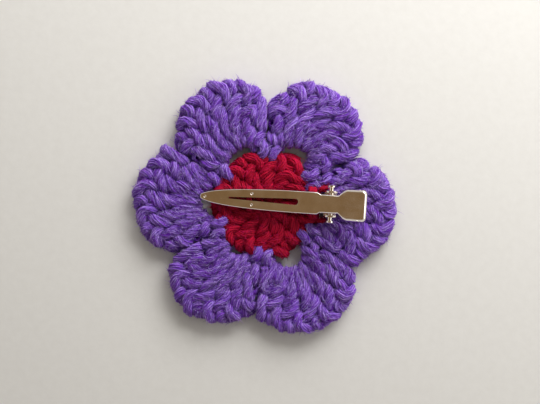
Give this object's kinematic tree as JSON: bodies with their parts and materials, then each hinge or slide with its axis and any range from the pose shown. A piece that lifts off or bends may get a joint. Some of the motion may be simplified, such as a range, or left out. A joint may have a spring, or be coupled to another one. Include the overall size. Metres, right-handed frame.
{
  "type": "flower hair clip",
  "caption": "Crocheted flower with a red centre and purple petals, sewn by its back to a sprung single-prong metal hair clip that opens at a cross pin.",
  "frame": {"origin": "the flower's centre, in the plane that it rests on, which is the middle of the whole clip to within half a millimetre", "axes": "+X along the clip from the blade's tip towards the thumb plates, +Z away from the flower's face, through the clip"},
  "size_m": [0.0722, 0.0688, 0.0129],
  "materials": {
    "purple_yarn": "four-ply acrylic yarn, soft sheen",
    "red_yarn": "four-ply acrylic yarn, soft and matt",
    "plated_sheet": "bright nickel plate on steel sheet",
    "plated_pin": "bright nickel plate",
    "spring_wire": "plain spring wire"
  },
  "bodies": {
    "flower_and_lower_lever": {"centre_ring": "red_yarn", "centre_round": "red_yarn", "anchor_1": "purple_yarn", "anchor_2": "purple_yarn", "anchor_3": "purple_yarn", "anchor_4": "purple_yarn", "anchor_5": "purple_yarn", "anchor_6": "purple_yarn", "chain_loop_1": "purple_yarn", "chain_loop_2": "purple_yarn", "chain_loop_3": "purple_yarn", "chain_loop_4": "purple_yarn", "chain_loop_5": "purple_yarn", "chain_loop_6": "purple_yarn", "petal_1": "purple_yarn", "petal_2": "purple_yarn", "petal_3": "purple_yarn", "petal_4": "purple_yarn", "petal_5": "purple_yarn", "petal_6": "purple_yarn", "fixing_wrap_mid": "red_yarn", "fixing_wrap_pivot": "red_yarn", "lower_lever": "plated_sheet", "pivot_pin": "plated_pin", "torsion_spring": "spring_wire"},
    "upper_jaw": {"upper_lever": "plated_sheet"}
  },
  "joints": [
    {"name": "jaw_hinge", "type": "hinge", "parent": "flower_and_lower_lever", "child": "upper_jaw", "pos_m": [0.0175, 0.0011, 0.00775], "axis": [0, 1, 0], "range_deg": [0, 30], "stiffness_Nm_per_rad": 0.03, "springref_deg": -28.65, "deforming": ["torsion_spring"]}
  ]
}
